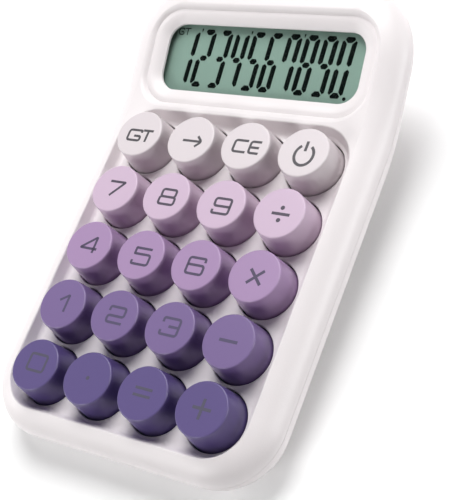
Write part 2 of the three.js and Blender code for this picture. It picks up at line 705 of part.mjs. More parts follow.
function contactPlate(start) {
  const half = CONTACT_WIDTH / 2;
  const low = new THREE.Vector3(start, CELL_Y - half, CELL_Z - half);
  const high = new THREE.Vector3(start + CONTACT_THICKNESS, CELL_Y + half, CELL_Z + half);
  return solid(block(low, high));
}

class SpringCurve extends THREE.Curve {
  getPoint(share, target = new THREE.Vector3()) {
    const radius = THREE.MathUtils.lerp(SPRING_TIP_RADIUS, SPRING_RADIUS, share);
    const angle = 2 * Math.PI * SPRING_TURNS * share;
    const reach = THREE.MathUtils.lerp(SPRING_WIRE, SPRING_LENGTH, share);
    return target.set(reach, radius * Math.cos(angle), radius * Math.sin(angle));
  }
}

function springContactGeometry() {
  const wire = new THREE.Shape();
  wire.absarc(0, 0, SPRING_WIRE, 0, 2 * Math.PI);
  const coil = new THREE.ExtrudeGeometry(wire, {
    steps: SPRING_TURNS * SPRING_STEPS_PER_TURN,
    curveSegments: SPRING_SIDES,
    extrudePath: new SpringCurve(),
  });
  const start = CELL_START + CELL_LENGTH + CLEARANCE;
  const plateStart = BAY_HALF - CLEARANCE - CONTACT_THICKNESS;
  return geometryOf(solid(coil, at(start, CELL_Y, CELL_Z)).add(contactPlate(plateStart)));
}

// Display glass, its lens, the frame that holds both, and the flat cable down to the board

function glassPlate(low, high, halfWidth, halfLength, corner, shift = WINDOW_SHIFT) {
  return plate(roundedRectangle(halfWidth, halfLength, corner), low, high, 1).translate(0, shift, 0);
}

function lensGeometry() {
  return glassPlate(LENS_FRONT - LENS_THICKNESS, LENS_FRONT, GLASS_WIDTH / 2, GLASS_LENGTH / 2, GLASS_CORNER);
}

function displayGlassGeometry() {
  const middle = GLASS_BACK + REAR_GLASS;
  const front = glassPlate(middle - CLEARANCE, GLASS_FRONT, GLASS_WIDTH / 2,
    (GLASS_LENGTH - GLASS_LEDGE) / 2, GLASS_CORNER, WINDOW_SHIFT + GLASS_LEDGE / 2);
  const rear = glassPlate(GLASS_BACK, middle, GLASS_WIDTH / 2, GLASS_LENGTH / 2, GLASS_CORNER);
  return geometryOf(solid(front).add(solid(rear)));
}

function holderGeometry() {
  const halfWidth = GLASS_WIDTH / 2 + CLEARANCE;
  const halfLength = GLASS_LENGTH / 2 + CLEARANCE;
  const frame = solid(glassPlate(HOLDER_BACK, BEZEL_BACK - CLEARANCE, halfWidth + HOLDER_WALL,
    halfLength + HOLDER_WALL, HOLDER_CORNER));
  const seat = solid(glassPlate(GLASS_BACK - CLEARANCE, BEZEL_BACK + OVERRUN, halfWidth, halfLength,
    GLASS_CORNER));
  const opening = solid(glassPlate(HOLDER_BACK - OVERRUN, GLASS_FRONT, halfWidth - HOLDER_LEDGE,
    halfLength - HOLDER_LEDGE, GLASS_CORNER));
  return geometryOf(frame.subtract(seat).subtract(opening));
}

// The cable leaves the back of the glass, clears the holder and lands flat on the board's tail
function flatCableGeometry() {
  const ledgeEdge = WINDOW_SHIFT - GLASS_LENGTH / 2 - CLEARANCE + HOLDER_LEDGE;
  const inDisplay = (along, depth) => new THREE.Vector3(0, along, depth).applyMatrix4(toFaceFromDisplay);
  const landing = BOARD_MARGIN + BOARD_TAIL - CABLE_LANDING;
  const rest = BOARD_TOP + CLEARANCE + CABLE_THICKNESS / 2;
  const curve = new THREE.CatmullRomCurve3([
    inDisplay(ledgeEdge + CABLE_LANDING + CABLE_SLACK, GLASS_BACK - CLEARANCE - CABLE_THICKNESS / 2),
    inDisplay(ledgeEdge + CABLE_LANDING, GLASS_BACK - CLEARANCE - CABLE_THICKNESS),
    inDisplay(ledgeEdge, HOLDER_BACK - CABLE_SLACK),
    new THREE.Vector3(0, landing + CABLE_LANDING + CABLE_SLACK, rest + CABLE_SLACK),
    new THREE.Vector3(0, landing, rest),
    new THREE.Vector3(0, landing - CABLE_LANDING, rest),
  ]);
  const upper = [];
  const lower = [];
  for (let k = 0; k <= CABLE_STEPS; k++) {
    const share = k / CABLE_STEPS;
    const point = curve.getPointAt(share);
    const tangent = curve.getTangentAt(share);
    const side = new THREE.Vector2(-tangent.z, tangent.y).multiplyScalar(CABLE_THICKNESS / 2);
    upper.push(new THREE.Vector2(point.y, point.z).add(side));
    lower.unshift(new THREE.Vector2(point.y, point.z).sub(side));
  }
  const strip = plate(new THREE.Shape(upper.concat(lower)), -CABLE_WIDTH / 2, CABLE_WIDTH / 2);
  const acrossX = new THREE.Matrix4().makeBasis(new THREE.Vector3(0, 1, 0), new THREE.Vector3(0, 0, 1),
    new THREE.Vector3(1, 0, 0));
  return strip.applyMatrix4(acrossX);
}

// Small turned pieces

function screwGeometry() {
  const head = INNER_FLOOR - CLEARANCE / 2 - CLEARANCE;
  return turned([
    [0, head - SCREW_HEAD_HEIGHT],
    [SCREW_HEAD_RADIUS - CLEARANCE, head - SCREW_HEAD_HEIGHT],
    [SCREW_HEAD_RADIUS, head - SCREW_HEAD_HEIGHT + CLEARANCE],
    [SCREW_HEAD_RADIUS, head],
    [SCREW_RADIUS, head],
    [SCREW_RADIUS, -DECK_THICKNESS - SCREW_TIP_COVER - 2 * SCREW_RADIUS],
    [0, -DECK_THICKNESS - SCREW_TIP_COVER - SCREW_RADIUS],
  ]);
}

function footGeometry() {
  return turned([
    [0, 0],
    [FOOT_RADIUS - FOOT_EDGE, 0],
    [FOOT_RADIUS, FOOT_EDGE],
    [FOOT_RADIUS, FOOT_HEIGHT],
    [0, FOOT_HEIGHT],
  ], ROUND_STEPS);
}

// Materials

function plastic(color, roughness = 0.45) {
  return new THREE.MeshStandardMaterial({ color, roughness, metalness: 0 });
}

function metal(color, roughness = 0.3) {
  return new THREE.MeshStandardMaterial({ color, roughness, metalness: 1 });
}

const ROW_COLORS = [0xe4dbe2, 0xcbb5d3, 0x9a86c2, 0x7862aa, 0x5f4a90];
const casing = plastic(0xf1eeec);
const darkPlastic = plastic(0x35343a, 0.6);
const stemPlastic = plastic(0x8fb7d8, 0.5);
const boardGreen = plastic(0x2e6a48, 0.6);
const lensClear = plastic(0xdfe8e4, 0.1);
const lcdGreen = plastic(0x87a598, 0.25);
const cableAmber = plastic(0xb5762c, 0.5);
const cellSleeve = plastic(0x4c5560, 0.4);
const rubber = plastic(0x3d3d40, 0.9);
const nickel = metal(0xc9c9c6);
const zinc = metal(0xaeb1b5, 0.4);

// Assembly

const calculator = new THREE.Group();
const face = new THREE.Group();
const display = new THREE.Group();
face.rotation.x = DESK_TILT;
face.position.z = FACE_LIFT;
display.rotation.x = DISPLAY_TILT;
display.position.copy(displayOrigin);
calculator.add(face);
face.add(display);

function place(parent, name, geometry, material, x = 0, y = 0, z = 0) {
  const mesh = new THREE.Mesh(geometry, material.clone());
  mesh.name = name;
  mesh.position.set(x, y, z);
  parent.add(mesh);
}

place(face, "top_case", topCaseGeometry(), casing);
place(calculator, "bottom_case", bottomCaseGeometry(), casing);
place(face, "main_board", mainBoardGeometry(), boardGreen);

const keycap = keycapGeometry();
const plunger = plungerGeometry();
keyPlaces().forEach(([x, y], index) => {
  const number = String(index + 1).padStart(2, "0");
  const row = Math.floor(index / COLUMNS);
  place(face, `keycap_${number}`, keycap, plastic(ROW_COLORS[row % ROW_COLORS.length]), x, y);
  place(face, `plunger_${number}`, plunger, stemPlastic, x, y);
});

place(display, "display_lens", lensGeometry(), lensClear);
place(display, "display_glass", displayGlassGeometry(), lcdGreen);
place(display, "display_holder", holderGeometry(), darkPlastic);
place(face, "display_cable", flatCableGeometry(), cableAmber);

place(calculator, "battery_door", batteryDoorGeometry(), casing);
place(calculator, "battery", batteryGeometry(), cellSleeve, CELL_START, CELL_Y, CELL_Z);
place(calculator, "contact_plate", geometryOf(contactPlate(-BAY_HALF + CLEARANCE)), nickel);
place(calculator, "contact_spring", springContactGeometry(), nickel);

const screw = screwGeometry();
screwPlaces().forEach(([x, y], index) => {
  place(face, `case_screw_${index + 1}`, screw, zinc, x, y);
});

const foot = footGeometry();
Object.entries(footPlaces()).forEach(([name, [x, y]]) => {
  place(calculator, name, foot, rubber, x, y);
});

// The part's origin is under the middle of the casing, on the desk
const part = new THREE.Group();
part.add(calculator);
const bounds = new THREE.Box3().setFromObject(part, true);
const middle = bounds.getCenter(new THREE.Vector3());
calculator.position.set(-middle.x, -middle.y, -bounds.min.z);

export default part;
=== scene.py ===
import math

import bmesh
import bpy
from mathutils import Matrix, Vector


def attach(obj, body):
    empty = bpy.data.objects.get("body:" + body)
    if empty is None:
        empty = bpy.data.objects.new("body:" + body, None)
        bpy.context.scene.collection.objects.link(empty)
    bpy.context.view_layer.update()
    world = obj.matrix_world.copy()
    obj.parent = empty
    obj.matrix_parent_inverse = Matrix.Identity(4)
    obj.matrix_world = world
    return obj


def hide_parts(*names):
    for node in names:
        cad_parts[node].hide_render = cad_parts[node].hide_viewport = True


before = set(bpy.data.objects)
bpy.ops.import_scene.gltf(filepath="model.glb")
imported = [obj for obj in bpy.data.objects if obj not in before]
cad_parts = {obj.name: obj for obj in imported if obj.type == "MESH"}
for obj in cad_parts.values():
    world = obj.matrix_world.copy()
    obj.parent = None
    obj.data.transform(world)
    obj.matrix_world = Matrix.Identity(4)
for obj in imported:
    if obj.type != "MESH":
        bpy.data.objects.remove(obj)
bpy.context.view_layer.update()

# Top case: the upper half of the casing, a thin shell moulded in satin white plastic. A soft
# crown runs round a sunken keypad well and a stepped display recess, and the whole shell bends
# up under the display. It is drawn flat, in millimetres from the deck, and then bent.
MM = 0.001
DECK_SLOPE = 5
DECK_BACK = 20.116
DECK_LIFT = 21.606
FACE = Matrix.Translation((0, DECK_BACK * MM, DECK_LIFT * MM)) @ Matrix.Rotation(
    math.radians(DECK_SLOPE), 4, "X") @ Matrix.Scale(MM, 4)
KEY_PITCH = 20
COLUMNS = 4
ROWS = 5
FIRST_COLUMN = -KEY_PITCH * (COLUMNS - 1) / 2
LAST_ROW = -KEY_PITCH * (ROWS - 1)
WALL = 2
OVERRUN = 6
RIM = 4
WELL_SIDE = 42.1
WELL_BACK = 11.7
WELL_FRONT = LAST_ROW - WELL_BACK
WELL_CORNER = 12
WELL_DRAFT = 3.1
WELL_FOOT = 2.4
WELL_MOUTH = 0.7
WALL_SLOPE = 30
MOUTH_SLOPE = 78
MOUTH_RUN = 0.98
MOUTH_RISE = 0.21
SIDE_BORDER = 7.75
FRONT_BORDER = 6.4
BACK_BORDER = 9.3
RIM_EDGE = 0.6
CORNER = WELL_CORNER + SIDE_BORDER
BACK_CORNER = 24
CROWN_RISE = 7.5
CROWN_HEIGHT = 8.5
SEAM = RIM - CROWN_RISE
RECESS_LENGTH = 34.4
RECESS_FRONT = WELL_BACK + 2
RECESS_MIDDLE = RECESS_FRONT + RECESS_LENGTH / 2
RECESS_CORNER = 11
RECESS_DEPTH = 1.2
RECESS_FOOT = 1.45
RECESS_ROLL = 2.6
RECESS_LIP = 0.06
HALF_WIDTH = WELL_SIDE + SIDE_BORDER
FRONT = WELL_FRONT - FRONT_BORDER
BACK = RECESS_FRONT + RECESS_LENGTH + BACK_BORDER
BEND_START = 5.1
BEND_RADIUS = 75
TILT = math.radians(17)
BEND_LENGTH = BEND_RADIUS * TILT
BEND_END = BEND_START + BEND_LENGTH
THINNING = 0.15
CORNER_STEPS = 14
BEND_STEPS = 12
SKIN_STEPS = 14
FOOT_STEPS = 8
MOUTH_STEPS = 10
RECESS_STEPS = 14


def bend(x, along, height):
    """Where a point of the flat drawing ends up once the casing is bent, and thinner at the back."""
    share = min(max((along - BEND_START) / BEND_LENGTH, 0), 1)
    depth = (RIM - height) * (1 - THINNING * share * share * (3 - 2 * share))
    swing = share * TILT
    radius = BEND_RADIUS + depth
    straight = min(along, BEND_START) - BEND_START + max(along - BEND_END, 0)
    return Vector((
        x,
        BEND_START + radius * math.sin(swing) + straight * math.cos(swing),
        RIM + BEND_RADIUS - radius * math.cos(swing) + straight * math.sin(swing),
    ))


def ring_points(half_width, front, back, across, at_front, at_back, stations=()):
    """A rounded rectangle. Its corners reach so far across, and so far along at each end."""
    right = []
    turns = [math.pi / 2 * k / CORNER_STEPS for k in range(CORNER_STEPS + 1)]
    for turn in turns:
        right.append((half_width - across * (1 - math.sin(turn)), front + at_front * (1 - math.cos(turn))))
    right += [(half_width, station) for station in stations]
    for turn in turns:
        right.append((half_width - across * (1 - math.cos(turn)), back - at_back * (1 - math.sin(turn))))
    return right + [(-x, y) for x, y in reversed(right)]


def casing_ring(height, side, front=None, back=None):
    """The casing's outline at a height, set in from its sides, its front and its back."""
    front = side if front is None else front
    back = side if back is None else back
    stations = [BEND_START + BEND_LENGTH * k / BEND_STEPS for k in range(BEND_STEPS)]
    ring = ring_points(HALF_WIDTH - side, FRONT + front, BACK - back, CORNER - side,
                       CORNER - front, BACK_CORNER - back, stations)
    return [bend(x, along, height) for x, along in ring]


def rise(past):
    """How far the bent face has left its flat plane, so far past the start of the bend."""
    return BEND_RADIUS - math.sqrt(BEND_RADIUS ** 2 - max(past, 0) ** 2)


def plug(half_width, front, back, corner, levels, past=lambda y: 0):
    """Rings of a rounded rectangle. A level gives a height, how far it is set in, and how much it
    follows the bent face, from 0 to 1. past tells how far into the bend a point lies."""
    rings = []
    for height, inset, follows in levels:
        turn = corner - inset
        ring = ring_points(half_width - inset, front + inset, back - inset, turn, turn, turn)
        rings.append([Vector((x, y, height + follows * rise(past(y)))) for x, y in ring])
    return rings


def add(name, mesh):
    made = bpy.data.objects.new(name, mesh)
    bpy.context.collection.objects.link(made)
    return made


def stack(name, rings, place=Matrix()):
    """One closed mesh from rings of points that lie above each other. Each ring runs up the right
    side and down the left, so that its two ends close with strips from side to side."""
    count = len(rings[0])
    faces = []
    last = (len(rings) - 1) * count
    for low in range(0, last, count):
        high = low + count
        for k in range(count):
            n = (k + 1) % count
            faces.append((low + k, low + n, high + n, high + k))
    for k in range(count // 2 - 1):
        across = count - 1 - k
        faces.append((across, across - 1, k + 1, k))
        faces.append((last + across, last + k, last + k + 1, last + across - 1))
    mesh = bpy.data.meshes.new(name)
    mesh.from_pydata([place @ point for ring in rings for point in ring], [], faces)
    return add(name, mesh)


def turned(name, profile, steps, places=(Matrix(),)):
    """Copies of a mesh turned round Z from (radius, height) pairs that start and end on the axis."""
    points = []
    faces = []
    for place in places:
        first = len(points)
        points.append(place @ Vector((0, 0, profile[0][1])))
        for radius, height in profile[1:-1]:
            for k in range(steps):
                turn = 2 * math.pi * k / steps
                points.append(place @ Vector((radius * math.cos(turn), radius * math.sin(turn), height)))
        last = len(points)
        points.append(place @ Vector((0, 0, profile[-1][1])))
        for k in range(steps):
            n = (k + 1) % steps
            faces.append((first, first + 1 + n, first + 1 + k))
            for r in range(len(profile) - 3):
                low = first + 1 + r * steps
                high = low + steps
                faces.append((low + k, low + n, high + n, high + k))
            faces.append((last, last - steps + k, last - steps + n))
    mesh = bpy.data.meshes.new(name)
    mesh.from_pydata(points, [], faces)
    return add(name, mesh)


def carve(body, tool, operation="DIFFERENCE", least=0.001):
    """Cuts one solid with another, or joins them, and uses the second up. Points of the result
    that are closer than the least distance become one."""
    step = body.modifiers.new("carve", "BOOLEAN")
    step.operation = operation
    step.solver = "EXACT"
    step.object = tool
    seen = body.evaluated_get(bpy.context.evaluated_depsgraph_get())
    mesh = bpy.data.meshes.new_from_object(seen)
    tidy = bmesh.new()
    tidy.from_mesh(mesh)
    bmesh.ops.remove_doubles(tidy, verts=tidy.verts[:], dist=least)
    bmesh.ops.dissolve_degenerate(tidy, edges=tidy.edges[:], dist=least)
    tidy.to_mesh(mesh)
    tidy.free()
    body.modifiers.clear()
    body.data = mesh
    bpy.data.objects.remove(tool)


def settle(piece, place, finish, body, slot):
    """Takes a finished piece to its place, with its material and moving body. The material slot it is given
    is not used.
    """
    piece.data.transform(place)
    piece.data.materials.append(finish)
    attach(piece, body)


def smooth(piece, degrees=15):
    """Soft shading, with a crisp line where two faces meet at more than this angle."""
    mesh = piece.data
    mesh.polygons.foreach_set("use_smooth", [True] * len(mesh.polygons))
    mesh.set_sharp_from_angle(angle=math.radians(degrees))
    weigh = piece.modifiers.new("weigh", "WEIGHTED_NORMAL")
    weigh.keep_sharp = True
    weigh.weight = 80


def crown(name, inset, start):
    """The upper half as a solid, set in by so much and standing on a height at or below the seam."""
    top = math.asin(CROWN_RISE / CROWN_HEIGHT)
    rings = [casing_ring(start, inset)] if start < SEAM else []
    for k in range(SKIN_STEPS + 1):
        turn = top * k / SKIN_STEPS
        share = (1 - math.cos(turn)) / (1 - math.cos(top))
        height = SEAM + (CROWN_RISE - inset) * math.sin(turn) / math.sin(top)
        side, front, back = (
            inset + (border - RIM_EDGE) * share for border in (SIDE_BORDER, FRONT_BORDER, BACK_BORDER))
        rings.append(casing_ring(height, side, front, back))
    return stack(name, rings)


def well(name, skin, floor):
    """The keypad well as a solid, for its own surface or with a skin round it. It has a rounded
    foot, a sloping wall, and a rounded mouth that opens out almost flat at the rim."""
    levels = []
    for k in range(FOOT_STEPS + 1):
        turn = math.radians((90 - WALL_SLOPE) * k / FOOT_STEPS)
        height = floor + WELL_FOOT * (1 - math.cos(turn))
        levels.append((height, WELL_DRAFT - WELL_FOOT * math.sin(turn), 0))
    for k in range(MOUTH_STEPS + 1):
        turn = math.radians(WALL_SLOPE + (MOUTH_SLOPE - WALL_SLOPE) * k / MOUTH_STEPS)
        height = RIM - WELL_MOUTH * (1 - math.sin(turn))
        levels.append((height, -WELL_MOUTH * (1 - math.cos(turn)), 1))
    top, inset = levels[-1][:2]
    levels += [(top + extra, inset - MOUTH_RUN, 1) for extra in (MOUTH_RISE, OVERRUN)]
    return stack(name, plug(WELL_SIDE + skin, WELL_FRONT - skin, WELL_BACK + skin, WELL_CORNER + skin,
                            levels, lambda y: y - BEND_START))


up_the_tilt = Vector((0, math.cos(TILT), math.sin(TILT)))
display_middle = bend(0, BEND_END, RIM) + up_the_tilt * (RECESS_MIDDLE - BEND_END)
TO_DISPLAY = Matrix.Translation(display_middle) @ Matrix.Rotation(TILT, 4, "X")
BEZEL_BACK = -3.8
BEVEL_BACK = -3.0
BEVEL_WIDTH = 3.6
BEVEL_PULL = (-1.3, 2.3)
BEVEL_RUN = 0.3
BEVEL_STEPS = 8
WINDOW_SIZE = (72.7, 22.3)
WINDOW_CORNER = 6.1
WINDOW_SHIFT = 0.3


def recess(name, skin, floor):
    """The step round the window as a solid, whose wall rolls over into the bent face."""
    half = RECESS_LENGTH / 2 + skin
    levels = []
    for k in range(RECESS_STEPS + 1):
        share = k / RECESS_STEPS
        left = (1 - share) ** 3
        levels.append((floor * left + RECESS_LIP * share, RECESS_FOOT - RECESS_ROLL * share, 1 - left))
    levels.append((OVERRUN, RECESS_FOOT - RECESS_ROLL, 1))
    return stack(name, plug(WELL_SIDE + skin, -half, half, RECESS_CORNER + skin, levels,
                            lambda y: BEND_END - RECESS_MIDDLE - y), TO_DISPLAY)


def window():
    """The window as a solid, with the hollow bevel that widens it towards the eye."""
    levels = [(BEZEL_BACK - OVERRUN, 0, 0)]
    pull_height, pull_out = BEVEL_PULL
    for k in range(BEVEL_STEPS + 1):
        share = k / BEVEL_STEPS
        start, middle, end = (1 - share) ** 2, 2 * share * (1 - share), share * share
        height = start * BEVEL_BACK + middle * pull_height - end * RECESS_DEPTH
        levels.append((height, -(middle * pull_out + end * BEVEL_WIDTH), 0))
    levels.append((BEVEL_RUN - RECESS_DEPTH, -BEVEL_WIDTH - BEVEL_RUN, 0))
    half = WINDOW_SIZE[1] / 2
    return stack("window", plug(WINDOW_SIZE[0] / 2, WINDOW_SHIFT - half, WINDOW_SHIFT + half,
                                WINDOW_CORNER, levels), TO_DISPLAY)


class Wire:
    """A socket of a material's nodes that can stand in a sum or a product."""

    def __init__(self, tree, socket=None):
        self.tree = tree
        self.socket = socket

    def node(self, kind, settings=None, inputs=None, output=0):
        made = self.tree.nodes.new(kind)
        for key, value in (settings or {}).items():
            setattr(made, key, value)
        for key, value in (inputs or {}).items():
            if isinstance(value, Wire):
                self.tree.links.new(value.socket, made.inputs[key])
            else:
                made.inputs[key].default_value = value
        return Wire(self.tree, made.outputs[output])

    def feed(self, shader, name):
        self.tree.links.new(self.socket, shader.inputs[name])

    def math(self, operation, first, second):
        return self.node("ShaderNodeMath", {"operation": operation}, {0: first, 1: second})

    def __add__(self, other):
        return self.math("ADD", self, other)

    def __mul__(self, other):
        return self.math("MULTIPLY", self, other)

    __radd__ = __add__
    __rmul__ = __mul__


GRAIN_DEPTH = 0.06


def surface(name, color, roughness, mottle=0.02, patch=0.06, patch_scale=55.0,
            grain=0.0, grain_size=0.35, metallic=0.0, sides=1.0):
    """A finish whose colour and gloss drift a little, with a fine grain pressed into it. Faces that
    look sideways are darkened by painted shade: their colour is that of faces that look up, times sides."""
    material = bpy.data.materials.new(name)
    material.use_nodes = True
    shader = material.node_tree.nodes["Principled BSDF"]
    shader.inputs["Metallic"].default_value = metallic
    start = Wire(material.node_tree)
    spot = start.node("ShaderNodeTexCoord", output="Object")
    cloud = start.node("ShaderNodeTexNoise", {}, {"Vector": spot, "Scale": patch_scale, "Detail": 3.0})
    (roughness - patch / 2 + cloud * patch).feed(shader, "Roughness")
    dark = tuple(channel * (1 - mottle) for channel in color)
    tint = start.node("ShaderNodeMix", {"data_type": "RGBA"}, {
        0: cloud, 6: (*dark, 1), 7: (*color, 1)}, 2)
    # Painted shade: the base colour darkens as a face turns from looking up to looking sideways, down to
    # sides times the colour.
    if sides < 1:
        facing = start.node("ShaderNodeTexCoord", output="Normal")
        up = start.node("ShaderNodeSeparateXYZ", {}, {"Vector": facing}, "Z")
        painted_side_shade = start.node("ShaderNodeClamp", {}, {"Value": sides + up * (1 - sides)})
        tint = start.node("ShaderNodeVectorMath", {"operation": "SCALE"}, {0: tint, "Scale": painted_side_shade})
    tint.feed(shader, "Base Color")
    if grain:
        fine = start.node("ShaderNodeTexNoise", {}, {
            "Vector": spot, "Scale": 1 / (grain_size * MM), "Detail": 2.0})
        start.node("ShaderNodeBump", {}, {
            "Strength": grain, "Distance": GRAIN_DEPTH * MM, "Height": fine}).feed(shader, "Normal")
    return material


casing = surface("casing white", (0.862, 0.814, 0.822), 0.42, mottle=0.012, grain=0.35)

KEY_PLACES = [(FIRST_COLUMN + KEY_PITCH * column, -KEY_PITCH * row)
              for row in range(ROWS) for column in range(COLUMNS)]
HOLE = 9.46
HOLE_CHAMFER = 0.3
HOLE_EDGE = 0.1


def spots(places, start=Matrix()):
    """The places as matrices, for copies of a turned mesh."""
    return [start @ Matrix.Translation((x, y, 0)) for x, y in places]


top_case = crown("top_case_shell", 0, SEAM)
hollow = crown("hollow", WALL, SEAM - OVERRUN)
carve(hollow, well("well_skin", WALL, -WALL))
carve(hollow, recess("recess_skin", WALL, BEZEL_BACK))
carve(top_case, hollow)
carve(top_case, well("well", 0, 0))
carve(top_case, recess("recess", 0, -RECESS_DEPTH))
carve(top_case, window())
carve(top_case, turned("holes", [
    (0, -OVERRUN), (HOLE, -OVERRUN), (HOLE, HOLE_EDGE - HOLE_CHAMFER),
    (HOLE + HOLE_CHAMFER, HOLE_EDGE), (HOLE + HOLE_CHAMFER, OVERRUN), (0, OVERRUN),
], steps=64, places=spots(KEY_PLACES)))
smooth(top_case)
settle(top_case, FACE, casing, "case", "casing_plastic")
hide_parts("top_case")

# Bottom case: the lower half, a shallow round-edged tray of the same plastic, under a hair-fine
# seam. The stand below the display end is moulded with it and holds the battery. The tray is
# measured from the deck, the stand from the desk.
DESK = Matrix.Translation((0, DECK_BACK * MM, 0)) @ Matrix.Scale(MM, 4)
TO_DESK = DESK.inverted() @ FACE
HULL_TOP = SEAM - 0.12
HULL_BOTTOM = -13
HULL_INSET = 8
TRAY_OPEN = 9
PILLAR = 4.2
PILLAR_ROOT = -11.3
PILLAR_TOP = -9.6
SCREW_HEAD = 2.7
SCREW_SEAT = -11.15
SCREW_HOLE = 1.5
STAND_HALF = 29.05
STAND_FRONT = 8
STAND_BACK = 45
STAND_CORNER = 7
STAND_FLARE = 2
STAND_LIFT = 1.2
STAND_EDGE = 0.5
STAND_FLOOR = 4.6
STAND_TOP = 26
BAY_HALF = 24.9
BAY_REACH = 5.85
BAY_TOP = 14.2
BAY_WALL = 1.2
CELL_BACK = 34.5
DOOR_HALF = 25.2
DOOR_LENGTH = 21
DOOR_THICKNESS = 1.6
DOOR_GAP = 0.3
DOOR_ROOM = 3.1
RAIL_SLOT = 1.4
RAIL_SLOT_FLOOR = 1.9
FOOT_SEAT = 4.8
FOOT_SEAT_TOP = 2.3
FOOT_PLACES = {
    "foot_front_left": (-32, -80.655), "foot_front_right": (32, -80.655),
    "foot_rear_left": (-22.5, 15.5), "foot_rear_right": (22.5, 15.5)}
SCREW_PLACES = [(-20, -10), (20, -10), (-20, -70), (20, -70)]


def hull(name, skin, end):
    """The tray as a solid, set in by a skin, whose sides run on up to an end above the seam."""
    depth = HULL_TOP - HULL_BOTTOM - skin
    rings = []
    for k in range(SKIN_STEPS, -1, -1):
        turn = math.pi / 2 * k / SKIN_STEPS
        height = HULL_TOP - depth * math.sin(turn)
        rings.append(casing_ring(height, skin + HULL_INSET * (1 - math.cos(turn))))
    if end > HULL_TOP:
        rings.append(casing_ring(end, skin))
    return stack(name, rings, TO_DESK)


def block(name, low, high, bevel=0.0):
    """A box between two corners, its edges rounded if a bevel is given."""
    mesh = bpy.data.meshes.new(name)
    box = bmesh.new()
    bmesh.ops.create_cube(box, size=1)
    for vertex in box.verts:
        share = vertex.co + Vector((0.5, 0.5, 0.5))
        vertex.co = Vector(a + (b - a) * s for a, b, s in zip(low, high, share))
    if bevel:
        bmesh.ops.bevel(box, geom=box.edges[:], offset=bevel, segments=3, profile=0.5, affect="EDGES")
    box.to_mesh(mesh)
    box.free()
    return add(name, mesh)


def drum(name, radius, low, high, places, steps=40):
    """Plain round bars, one for each place."""
    return turned(name, [(0, low), (radius, low), (radius, high), (0, high)], steps, places)


bottom_case = hull("bottom_case_tray", 0, HULL_TOP)
stand_levels = [(STAND_LIFT + STAND_EDGE * up, STAND_FLARE + STAND_EDGE * inset, 0)
                for up, inset in ((0, 1), (0.3, 0.3), (1, 0))]
carve(bottom_case, stack("stand", plug(
    STAND_HALF + STAND_FLARE, STAND_FRONT - STAND_FLARE, STAND_BACK + STAND_FLARE, STAND_CORNER,
    stand_levels + [(STAND_TOP, 0, 0)])), "UNION")
carve(bottom_case, hull("tray_hollow", WALL, TRAY_OPEN))
carve(bottom_case, stack("stand_hollow", plug(
    STAND_HALF - WALL, STAND_FRONT + WALL, STAND_BACK - WALL, STAND_CORNER - WALL,
    [(STAND_FLOOR, 0, 0), (STAND_TOP + OVERRUN, 0, 0)])))
screw_spots = spots(SCREW_PLACES, TO_DESK)
carve(bottom_case, drum("pillars", PILLAR, PILLAR_ROOT, PILLAR_TOP, screw_spots), "UNION")
bay_front, bay_back = CELL_BACK - BAY_REACH, CELL_BACK + BAY_REACH
carve(bottom_case, block("bay_walls", (-BAY_HALF - BAY_WALL, bay_front - BAY_WALL, DOOR_ROOM),
                         (BAY_HALF + BAY_WALL, bay_back + BAY_WALL, BAY_TOP + BAY_WALL)), "UNION")
carve(bottom_case, block("bay", (-BAY_HALF, bay_front, -OVERRUN), (BAY_HALF, bay_back, BAY_TOP)))
door_front = STAND_BACK - DOOR_LENGTH
for name, half, bottom in (("door_mouth", DOOR_HALF, -OVERRUN),
                           ("rail_slots", DOOR_HALF + RAIL_SLOT, RAIL_SLOT_FLOOR)):
    carve(bottom_case, block(name, (-half, door_front - DOOR_GAP, bottom),
                             (half, STAND_BACK + OVERRUN, DOOR_ROOM)))
under = HULL_BOTTOM - OVERRUN
carve(bottom_case, drum("screw_heads", SCREW_HEAD, under, SCREW_SEAT, screw_spots))
carve(bottom_case, drum("screw_holes", SCREW_HOLE, under, PILLAR_TOP + OVERRUN, screw_spots))
carve(bottom_case, drum("foot_seats", FOOT_SEAT, -OVERRUN, FOOT_SEAT_TOP,
                        spots(FOOT_PLACES.values()), steps=64))
smooth(bottom_case)
settle(bottom_case, DESK, casing, "case", "casing_plastic")
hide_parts("bottom_case")

# Keycaps: twenty hollow drums with a slight taper and a small rounding at the top edge, moulded
# in one satin colour for each row, from almost white down to deep violet.
CAP_TOP = 8.12
CAP_HEIGHT = 9
CAP_FOOT = -1.6
CAP_ROOF = 7.4
CAP_WALL = 1.2
CAP_SLOPE = 0.88 / CAP_HEIGHT
CAP_WAIST = 3
CAP_EDGE = 0.5
CAP_EDGE_STEPS = 6
CAP_BORDER = 1.5
ROW_COLORS = [
    (0.73, 0.665, 0.69), (0.625, 0.475, 0.615), (0.385, 0.252, 0.445), (0.182, 0.12, 0.288),
    (0.096, 0.067, 0.213)]
CAP_SLOTS = ["cap_white", "cap_pale_lilac", "cap_lilac", "cap_purple", "cap_deep_purple"]
BODIES = [
    "key_gt", "key_arrow", "key_ce", "key_power", "key_7", "key_8", "key_9", "key_divide",
    "key_4", "key_5", "key_6", "key_multiply", "key_1", "key_2", "key_3", "key_minus",
    "key_0", "key_point", "key_equals", "key_plus"]


def cap_radius(height):
    """A cap's radius, which grows a little from its top to its foot."""
    return CAP_TOP + CAP_SLOPE * (CAP_HEIGHT - height)


